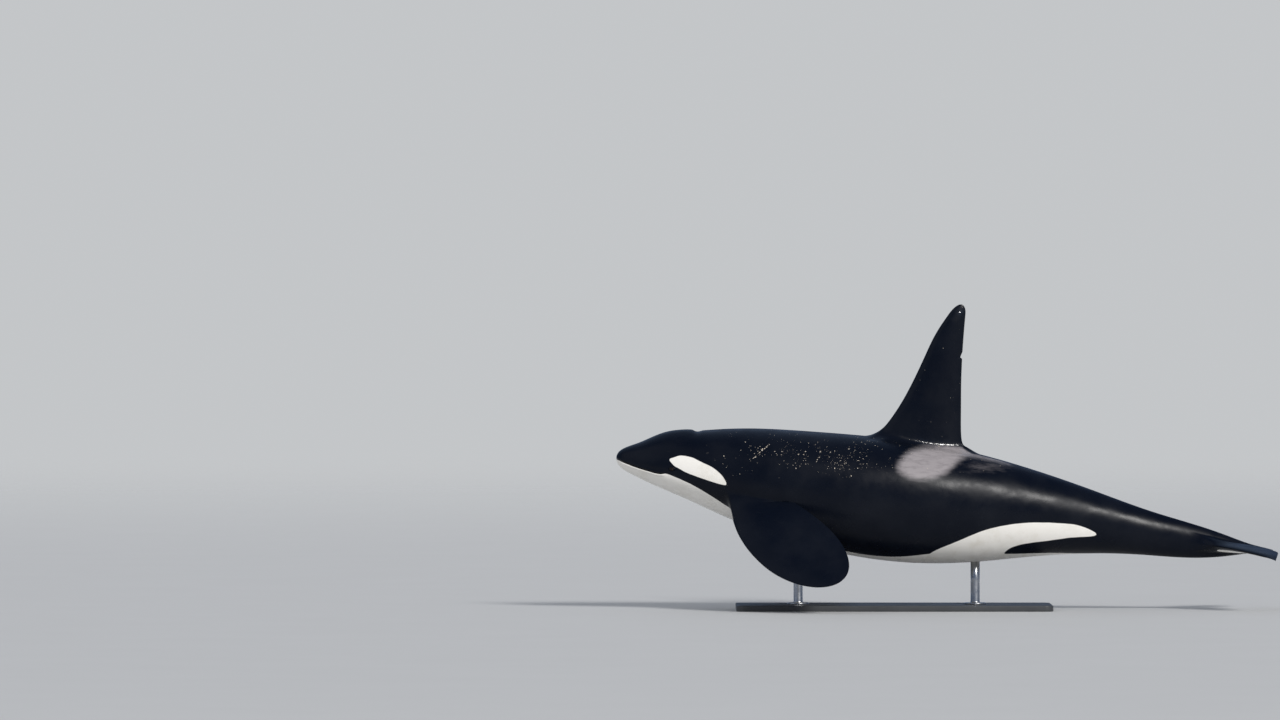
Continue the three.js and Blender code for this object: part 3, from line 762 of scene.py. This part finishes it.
def saddleField():
    field = insideBy(fromSide, roundOutline(markings["saddle"]))
    field = np.minimum(field, (markings["saddleOntoBlade"] - bladeShare) * markings["bladeSlope"])
    top, sharp = markings["saddleTop"]
    field = np.where(footShare < 1, np.minimum(field, (top - aboveFoot) * sharp), field)
    band, sharp, low, high = markings["saddleCrest"]
    offCrest = np.radians(around - band) * half * sharp + 0.3 * (1 - smooth(behind, low, high))
    below, *shade = markings["saddleShade"]
    return np.maximum(np.minimum(field, offCrest), spot(*shade) - below)


# painted glints: where pale flecks stand in for sun glints on the wet skin
def paintedGlintField():
    share, along, upward = markings["backPaintedGlints"]
    field = share * smooth(behind, *along) * (1 - bladeShare) * smooth(above, *upward)
    share, low = markings["bladePaintedGlints"]
    field = field + share * bladeShare * (above > low)
    return field + sum(spot(*crowd) for crowd in markings["paintedGlints"])


def wetField():
    starts, ends, line = markings["wetFoot"]
    foot = smooth(footShare, *starts) * (1 - smooth(footShare, *ends)) * bump(aboveFoot, *line)
    return np.maximum(foot, spot(*markings["wetDrop"]))


fields = {"white": whiteField(), "saddle": saddleField(), "paintedGlints": paintedGlintField(), "wet": wetField()}
for name, values in fields.items():
    layer = skinMesh.attributes.new(name, "FLOAT", "POINT")
    layer.data.foreach_set("value", values.astype(np.float32))
print("markings laid out")


# Materials
def setInputs(node, inputs):
    # each input is given a value, a colour or another node's output
    for key, value in inputs.items():
        socket = node.inputs[key]
        if isinstance(value, bpy.types.NodeSocket):
            node.id_data.links.new(value, socket)
        else:
            socket.default_value = (*value, 1.0) if socket.type == "RGBA" else value


def addNode(tree, kind, inputs=None, **settings):
    made = tree.nodes.new("ShaderNode" + kind)
    for key, value in settings.items():
        setattr(made, key, value)
    setInputs(made, inputs or {})
    return made


def newMaterial(name):
    material = bpy.data.materials.new(name)
    material.use_nodes = True
    tree = material.node_tree
    tree.nodes.clear()
    shader = addNode(tree, "BsdfPrincipled")
    addNode(tree, "OutputMaterial", {"Surface": shader.outputs["BSDF"]})
    return material, tree, shader, addNode(tree, "TexCoord").outputs["Object"]


# these add their nodes to the tree that their first input comes from
def noise(place, scale, detail, roughness, stretch=None):
    tree = place.id_data
    if stretch:
        place = addNode(tree, "Mapping", {"Scale": stretch, "Vector": place}).outputs["Vector"]
    inputs = {"Scale": scale, "Detail": detail, "Roughness": roughness, "Vector": place}
    return addNode(tree, "TexNoise", inputs).outputs["Fac"]


def math2(operation, a, b=0.0):
    return addNode(a.id_data, "Math", {0: a, 1: b}, operation=operation).outputs["Value"]


def product(first, *others):
    for other in others:
        first = math2("MULTIPLY", first, other)
    return first


def ramp(value, fromMin, fromMax, toMin=0.0, toMax=1.0):
    inputs = {"Value": value, "From Min": fromMin, "From Max": fromMax, "To Min": toMin, "To Max": toMax}
    return addNode(value.id_data, "MapRange", inputs, interpolation_type="SMOOTHSTEP").outputs["Result"]


def cloud(place, pattern, toMin=0.0, toMax=1.0):
    # a pattern is a noise's scale, detail, roughness and perhaps stretch, and two levels to cut it at
    *how, low, high = pattern
    return ramp(noise(place, *how), low, high, toMin, toMax)


def mixColour(fac, a, b):
    return addNode(fac.id_data, "Mix", {0: fac, 6: a, 7: b}, data_type="RGBA").outputs[2]


def bumpOf(height, strength, distance, normal=None):
    made = addNode(height.id_data, "Bump", {"Height": height, "Strength": strength, "Distance": distance})
    setInputs(made, {"Normal": normal} if normal else {})
    return made.outputs["Normal"]


def attribute(tree, name):
    return addNode(tree, "Attribute", attribute_name=name).outputs["Fac"]


skinLook = {
    "black": (0.002, 0.0036, 0.0085),
    "blackWorn": (0.0055, 0.0073, 0.0125),
    "mottle": (1.8, 5.0, 0.6, 0.35, 0.75),
    "white": (0.86, 0.84, 0.8),
    "whiteDull": (0.76, 0.73, 0.67),
    "paleMottle": (6.0, 5.0, 0.6, 0.45, 0.8),
    "saddle": (0.3, 0.278, 0.291),
    "saddleDark": (0.205, 0.189, 0.2),
    "streaks": (7.0, 6.0, 0.65, (1.0, 3.0, 4.5)),  # along the body, in the saddle and its edge
    "streakLevels": (0.22, 0.6),
    "wander": (7.0, 4.0, 0.6),
    "whiteEdge": (0.008, -0.003, 0.003),  # how far it wanders, and where it fades in, metres
    "saddleEdge": (0.044, -0.025, 0.075),
    # old tooth rakes in two directions, and how much the second set, those on black and on grey show
    "rakes": [(3.0, 6.0, 0.7, (1.5, 9.0, 26.0), 0.68, 0.74), (3.0, 6.0, 0.7, (14.0, 6.0, 3.0), 0.7, 0.76)],
    "rakesShow": (0.7, 0.2, 0.25),
    "rakeDepth": (0.12, 0.001),
    "scar": (0.06, 0.06, 0.062),
    # colour of the painted glints, pale like sun glints on the wet skin
    "paintedGlintColour": (0.58, 0.52, 0.44),
    "paintedGlintCells": [(40.0, 0.25), (85.0, 0.36)],  # cells a metre, and the largest painted glint's share of a cell
    "paintedGlintClusters": (5.0, 4.0, 0.65, 0.4, 0.6),
    # two pale scratches on the left flank, which are also painted glint lines of the wet skin: their ends
    "glintScratches": [((1.395, 0.066), (1.6, 0.245)), ((2.086, 0.057), (2.117, 0.12))],
    "scratchHalf": 0.0048,
    "scratchWander": (0.06, 13.0, 4.0, 0.65),
    "scratchGaps": (50.0, 2.0, 0.5, 0.49, 0.56),
    "scratchShows": 0.9,
    "roughness": (0.26, 0.38),
    "film": (4.5, 4.0, 0.6, 0.35, 0.7),
    "ior": 1.23,
    "coatRoughness": 0.07,
    "beads": (30.0, 2.0, 0.5, 0.36, 0.5),
    "ripples": ((45.0, 2.0, 0.5), 0.006),
    "rippleStrength": (1.0, 1.6, 0.34, 1.0),  # stronger where the wetness is over 1
    "relief": [((4.0, 2.0, 0.5), 0.25, 0.02), ((60.0, 3.0, 0.6), 0.15, 0.002)],
}


def paintedGlintSpecks(place, scale, largest, crowd):
    # one small ragged painted glint in a cell, in as many cells as crowd says, some bright and most faint
    tree = place.id_data
    wobble = addNode(tree, "TexNoise", {"Scale": scale * 3.0, "Detail": 2.0, "Vector": place})
    inputs = {0: wobble.outputs["Color"], 1: (0.5 / scale,) * 3, 2: place}
    moved = addNode(tree, "VectorMath", inputs, operation="MULTIPLY_ADD")
    cells = addNode(tree, "TexVoronoi", {"Scale": scale, "Randomness": 1.0, "Vector": moved.outputs[0]})
    chance = addNode(tree, "SeparateColor", {0: cells.outputs["Color"]}).outputs
    spot = math2("LESS_THAN", cells.outputs["Distance"], ramp(chance[1], 0.0, 1.0, 0.06, largest))
    return product(math2("LESS_THAN", chance[0], crowd), spot, ramp(chance[2], 0.35, 1.0, 0.1, 0.95))


def glintScratch(place, low, high):
    # thin broken pale line on the left flank between two points, as seen from the side: a scratch that is
    # also a painted glint line of the wet skin
    tree, look = place.id_data, skinLook
    start = Vector((low[0] + snoutX, 0, low[1] + waterline))
    way = Vector((high[0] - low[0], 0, high[1] - low[1]))
    length = way.length
    way.normalize()
    offset = addNode(tree, "VectorMath", {0: place, 1: start}, operation="SUBTRACT").outputs[0]
    along, across, side = (
        addNode(tree, "VectorMath", {0: offset, 1: direction}, operation="DOT_PRODUCT").outputs["Value"]
        for direction in (way, Vector((way.z, 0, -way.x)), Vector((0, 1, 0)))
    )
    reach, *how = look["scratchWander"]
    wander = product(math2("SUBTRACT", noise(place, *how), 0.5), reach)
    thin = math2("LESS_THAN", math2("ABSOLUTE", math2("ADD", across, wander)), look["scratchHalf"])
    starts, ends = ramp(along, -0.01, 0.01), ramp(along, length + 0.01, length - 0.01)
    onLeft = math2("LESS_THAN", side, -0.1)
    gaps = cloud(place, look["scratchGaps"], 0.0, look["scratchShows"])
    return product(thin, starts, ends, onLeft, gaps)


def raggedMarking(tree, name, grain, reach, low, high):
    uneven = product(math2("SUBTRACT", grain, 0.5), reach)
    return ramp(math2("ADD", attribute(tree, name), uneven), low, high)


def orcaSkin():
    look = skinLook
    material, tree, shader, place = newMaterial("wetOrcaSkin")
    white = raggedMarking(tree, "white", noise(place, *look["wander"]), *look["whiteEdge"])
    streaks = noise(place, *look["streaks"])
    saddle = raggedMarking(tree, "saddle", streaks, *look["saddleEdge"])
    crossing, onBlack, onGrey = look["rakesShow"]
    along, across = (cloud(place, pattern) for pattern in look["rakes"])
    rakes = math2("MAXIMUM", along, product(across, crossing))
    black = mixColour(cloud(place, look["mottle"]), look["black"], look["blackWorn"])
    black = mixColour(product(rakes, onBlack), black, look["scar"])
    grey = mixColour(ramp(streaks, *look["streakLevels"]), look["saddleDark"], look["saddle"])
    grey = mixColour(product(rakes, onGrey), grey, look["scar"])
    pale = mixColour(cloud(place, look["paleMottle"]), look["white"], look["whiteDull"])
    colour = mixColour(white, mixColour(saddle, black, grey), pale)
    # painted glints: small pale flecks standing in for sun glints on the wet flank, thickest low down in
    # front of the saddle
    crowd = product(attribute(tree, "paintedGlints"), cloud(place, look["paintedGlintClusters"]))
    paintedGlints = 0.0
    for scale, largest in look["paintedGlintCells"]:
        paintedGlints = math2("MAXIMUM", paintedGlintSpecks(place, scale, largest, crowd), paintedGlints)
    # the pale scratches, partly painted glint lines, join the painted glints
    for ends in look["glintScratches"]:
        paintedGlints = math2("MAXIMUM", glintScratch(place, *ends), paintedGlints)
    wet = attribute(tree, "wet")
    pattern, depth = look["ripples"]
    ripples = bumpOf(noise(place, *pattern), ramp(wet, *look["rippleStrength"]), depth)
    relief = None
    for pattern, strength, depth in look["relief"]:
        relief = bumpOf(noise(place, *pattern), strength, depth, relief)
    setInputs(shader, {
        "Base Color": mixColour(paintedGlints, colour, look["paintedGlintColour"]),
        "Roughness": cloud(place, look["film"], *look["roughness"]),
        "IOR": look["ior"],
        "Coat Weight": product(wet, cloud(place, look["beads"])),
        "Coat Roughness": look["coatRoughness"],
        "Coat Normal": ripples,
        "Normal": bumpOf(rakes, *look["rakeDepth"], relief),
    })
    return material


skin = objectOf(skinMesh, orcaSkin())
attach(skin, "root")
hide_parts("head", "lower_jaw", "chest", "loin", "tail_stock", "dorsal_fin", "flipper_left",
            "flipper_right", "fluke_left", "fluke_right")
print("skin finished")

# Eyes: dark, with a brown iris and a wide pupil. The angles are from the middle of the pupil, in radians.
eyeLook = {
    "fibres": (160.0, 4.0, 0.7),
    "iris": ((0.016, 0.009, 0.006), (0.04, 0.021, 0.012)),
    "pupil": ((0.002, 0.002, 0.003), 0.34, 0.38),
    "rim": ((0.022, 0.015, 0.013), 0.58, 0.66),
    "roughness": 0.06,
    "ior": 1.38,
    "clearance": 0.0003,
}


def eyeMaterial():
    material, tree, shader, place = newMaterial("eyeball")
    fromPupil = attribute(tree, "fromPupil")
    iris = mixColour(noise(place, *eyeLook["fibres"]), *eyeLook["iris"])
    pupil, low, high = eyeLook["pupil"]
    colour = mixColour(ramp(fromPupil, low, high), pupil, iris)
    rim, low, high = eyeLook["rim"]
    setInputs(shader, {
        "Base Color": mixColour(ramp(fromPupil, low, high), colour, rim),
        "Roughness": eyeLook["roughness"],
        "IOR": eyeLook["ior"],
    })
    return material


eyeFinish = eyeMaterial()
for side, name in ((1, "left"), (-1, "right")):
    at, eyeAround = eye["at"], eyeAngle(side)
    out = Vector(skinNormal(at, eyeAround))
    centre = Vector(skinPoint(at, eyeAround)[0]) - out * eye["sink"]
    turned = Matrix.Translation(centre) @ out.to_track_quat("Z", "Y").to_matrix().to_4x4()
    radius = eye["radius"] - eyeLook["clearance"]
    bm = bmesh.new()
    bmesh.ops.create_uvsphere(bm, u_segments=40, v_segments=24, radius=radius, matrix=turned)
    mesh = meshOf(bm, "eye_" + name + "_ball")
    layer = mesh.attributes.new("fromPupil", "FLOAT", "POINT")
    for vert, value in zip(mesh.vertices, layer.data):
        value.value = out.angle(vert.co - centre)
    ball = objectOf(mesh, eyeFinish)
    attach(ball, "root")
    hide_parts("eye_" + name)
print("eyes made")

# Stand: a painted base with soft edges and two turned steel rods with round feet
stand = {
    "base": (3.3, 1.15, 0.06),
    "corner": (0.09, 14),  # radius and segments
    "edge": (0.008, 4),
    "gap": 0.0003,
    "rodRadius": 0.048,
    "rodRing": 0.25,
    "rodSides": 72,
    # profile of a foot's edge, out from its radius and up
    "footRadius": 0.115,
    "footEdge": [(-0.002, 0.0), (0.0, 0.002), (0.0, 0.013), (-0.0015, 0.0165), (-0.005, 0.018)],
    "fillet": (0.014, 7),
    "rods": {"front": -1.0, "rear": 0.85},
    "intoBody": 0.045,
}
paintLook = {
    "colours": ((0.04, 0.043, 0.047), (0.052, 0.055, 0.059)),
    "cloud": (1.6, 4.0, 0.6, 0.3, 0.7),
    "dust": (0.2, 0.19, 0.18),
    "dustShows": 0.1,
    "dustGrains": (260.0, 2.0, 0.5, 0.66, 0.74),
    "roughness": (0.42, 0.56),
    "sheen": (9.0, 4.0, 0.6, 0.3, 0.7),
    "texture": ((420.0, 2.0, 0.5), 0.1, 0.0006),
}
steelLook = {
    "colours": ((0.4, 0.41, 0.42), (0.56, 0.57, 0.58)),
    "turning": (6.0, 4.0, 0.6, (0.6, 0.6, 90.0)),
    "turningLevels": (0.3, 0.7),
    "turningDepth": (0.06, 0.0006),
    "roughness": (0.24, 0.4),
    "smears": (14.0, 4.0, 0.6, 0.3, 0.75),
}


def finishedPiece(name, bm, material, replaced):
    piece = objectOf(meshOf(bm, name), material)
    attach(piece, "root")
    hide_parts(replaced)


def paintMaterial():
    look = paintLook
    material, tree, shader, place = newMaterial("satinBasePaint")
    colour = mixColour(cloud(place, look["cloud"]), *look["colours"])
    grains = product(cloud(place, look["dustGrains"]), look["dustShows"])
    pattern, strength, depth = look["texture"]
    setInputs(shader, {
        "Base Color": mixColour(grains, colour, look["dust"]),
        "Roughness": cloud(place, look["sheen"], *look["roughness"]),
        "Normal": bumpOf(noise(place, *pattern), strength, depth),
    })
    return material


def steelMaterial():
    look = steelLook
    material, tree, shader, place = newMaterial("turnedSteel")
    turning = noise(place, *look["turning"])
    setInputs(shader, {
        "Base Color": mixColour(ramp(turning, *look["turningLevels"]), *look["colours"]),
        "Metallic": 1.0,
        "Roughness": cloud(place, look["smears"], *look["roughness"]),
        "Normal": bumpOf(turning, *look["turningDepth"]),
    })
    return material


def roundEdges(bm, edges, offset, segments):
    bmesh.ops.bevel(bm, geom=edges, offset=offset, affect="EDGES", segments=segments, profile=0.5,
                    material=-1)


def rise(edge):
    return abs(edge.verts[0].co.z - edge.verts[1].co.z)


length, width, thick = stand["base"]
bm = bmesh.new()
placed = Matrix.Translation((0, 0, thick / 2)) @ Matrix.Diagonal((length, width, thick, 1))
bmesh.ops.create_cube(bm, size=1.0, matrix=placed)
roundEdges(bm, [e for e in bm.edges if rise(e) > 0.01], *stand["corner"])
rim = [e for e in bm.edges if rise(e) < 0.001 and any(abs(f.normal.z) < 0.5 for f in e.link_faces)]
roundEdges(bm, rim, *stand["edge"])
finishedPiece("base_slab", bm, paintMaterial(), "stand_base")

steel = steelMaterial()
radius = stand["rodRadius"]
footTop = stand["footEdge"][-1][1]
fillet, filletSteps = stand["fillet"]
for name, x in stand["rods"].items():
    top = float(skinPoint(x - snoutX, math.pi)[0][2]) + stand["intoBody"]
    outline = [(0.0, 0.0)] + [(stand["footRadius"] + out, z) for out, z in stand["footEdge"]]
    for turn in np.linspace(0, math.pi / 2, filletSteps):
        outline.append((radius + fillet * (1 - math.sin(turn)), footTop + fillet * (1 - math.cos(turn))))
    outline += [(radius, stand["rodRing"]), (radius, top), (0.0, top)]
    bm = bmesh.new()
    verts = [bm.verts.new((r, 0, z)) for r, z in outline]
    edges = [bm.edges.new(pair) for pair in zip(verts, verts[1:])]
    bmesh.ops.spin(bm, geom=verts + edges, cent=(0, 0, 0), axis=(0, 0, 1), angle=2 * math.pi,
                   steps=stand["rodSides"], use_merge=True)
    bmesh.ops.remove_doubles(bm, verts=bm.verts, dist=1e-5)
    bmesh.ops.translate(bm, verts=bm.verts, vec=(x, 0, thick + stand["gap"]))
    finishedPiece("rod_" + name, bm, steel, "stand_rod_" + name)
print("stand made")

# Studio: a wide pale floor that fades into the pale surround, one small key lamp and soft fill
studio = {
    "floorRadius": 400.0,
    "fade": (14.0, 90.0),
    "floor": (0.545, 0.55, 0.555),
    "floorCloud": (0.8, 4.0, 0.6),
    "floorShades": (0.97, 1.02),
    "floorRoughness": 0.75,
    "surround": (0.55, 0.565, 0.58),
    "sky": (0.42, 0.43, 0.45),
    "glossHigh": (0.05, 0.08, 0.17),
    "glossLow": (0.11, 0.16, 0.27),
    "glossRise": (0.0, 0.9),
    # each lamp: direction it shines from, angle across in degrees, strength, colour
    "lamps": {
        "key": ((0.62, -1.0, 0.78), 14.0, 2.5, (1.0, 0.98, 0.95)),
        "rear": ((-0.35, 1.0, 0.95), 60.0, 0.14, (0.66, 0.83, 1.0)),
        "front": ((-1.0, -0.5, 0.8), 60.0, 0.3, (0.96, 0.98, 1.0)),
    },
    "lampsAway": 8.0,
}


def floorMaterial():
    material, tree, shader, place = newMaterial("paleFloor")
    shades = [tuple(c * share for c in studio["floor"]) for share in studio["floorShades"]]
    colour = mixColour(noise(place, *studio["floorCloud"]), *shades)
    setInputs(shader, {"Base Color": colour, "Roughness": studio["floorRoughness"]})
    away = addNode(tree, "VectorMath", {0: place}, operation="LENGTH").outputs["Value"]
    clear = addNode(tree, "BsdfTransparent").outputs["BSDF"]
    mix = addNode(tree, "MixShader", {0: ramp(away, *studio["fade"]), 1: shader.outputs["BSDF"], 2: clear})
    output = next(node for node in tree.nodes if node.type == "OUTPUT_MATERIAL")
    setInputs(output, {"Surface": mix.outputs["Shader"]})
    return material


bm = bmesh.new()
bmesh.ops.create_circle(bm, cap_ends=True, segments=96, radius=studio["floorRadius"])
floor = objectOf(meshOf(bm, "floor"), floorMaterial())

world = bpy.data.worlds.new("surround")
scene.world = world
world.use_nodes = True
tree = world.node_tree
tree.nodes.clear()
direction = addNode(tree, "SeparateXYZ", {0: addNode(tree, "TexCoord").outputs["Generated"]})
upward = ramp(direction.outputs["Z"], *studio["glossRise"])
gloss = mixColour(upward, studio["glossLow"], studio["glossHigh"])
path = addNode(tree, "LightPath")
sky = mixColour(path.outputs["Is Glossy Ray"], studio["sky"], gloss)
sky = mixColour(path.outputs["Is Camera Ray"], sky, studio["surround"])
background = addNode(tree, "Background", {"Color": sky})
addNode(tree, "OutputWorld", {"Surface": background.outputs["Background"]})

for name, (place, angle, strength, colour) in studio["lamps"].items():
    lamp = bpy.data.lights.new(name, "SUN")
    lamp.angle = math.radians(angle)
    lamp.energy = strength
    lamp.color = colour
    lampObject = bpy.data.objects.new(name, lamp)
    lampObject.rotation_euler = Vector(place).to_track_quat("Z", "Y").to_euler()
    lampObject.location = Vector(place) * studio["lampsAway"]
    scene.collection.objects.link(lampObject)
scene.view_settings.view_transform = "Standard"

# The photo is taken from the left side with a long lens, a little above the water
view = {
    "lens": 320.0,
    "distance": 118.9,
    "height": 2.31,  # above the waterline
    "aimBehindSnout": 0.247,
    "aimHeight": 1.113,  # above the waterline
    "clipEnd": 1000.0,
}
photoCamera = bpy.data.cameras.new("photoCamera")
photoCamera.lens = view["lens"]
photoCamera.clip_end = view["clipEnd"]
camera = bpy.data.objects.new("photoCamera", photoCamera)
aimX = snoutX + view["aimBehindSnout"]
place = Vector((aimX, -view["distance"], waterline + view["height"]))
aim = Vector((aimX, 0, waterline + view["aimHeight"]))
camera.location = place
camera.rotation_euler = (aim - place).to_track_quat("-Z", "Y").to_euler()
scene.collection.objects.link(camera)
scene.camera = camera
print("studio and camera set")
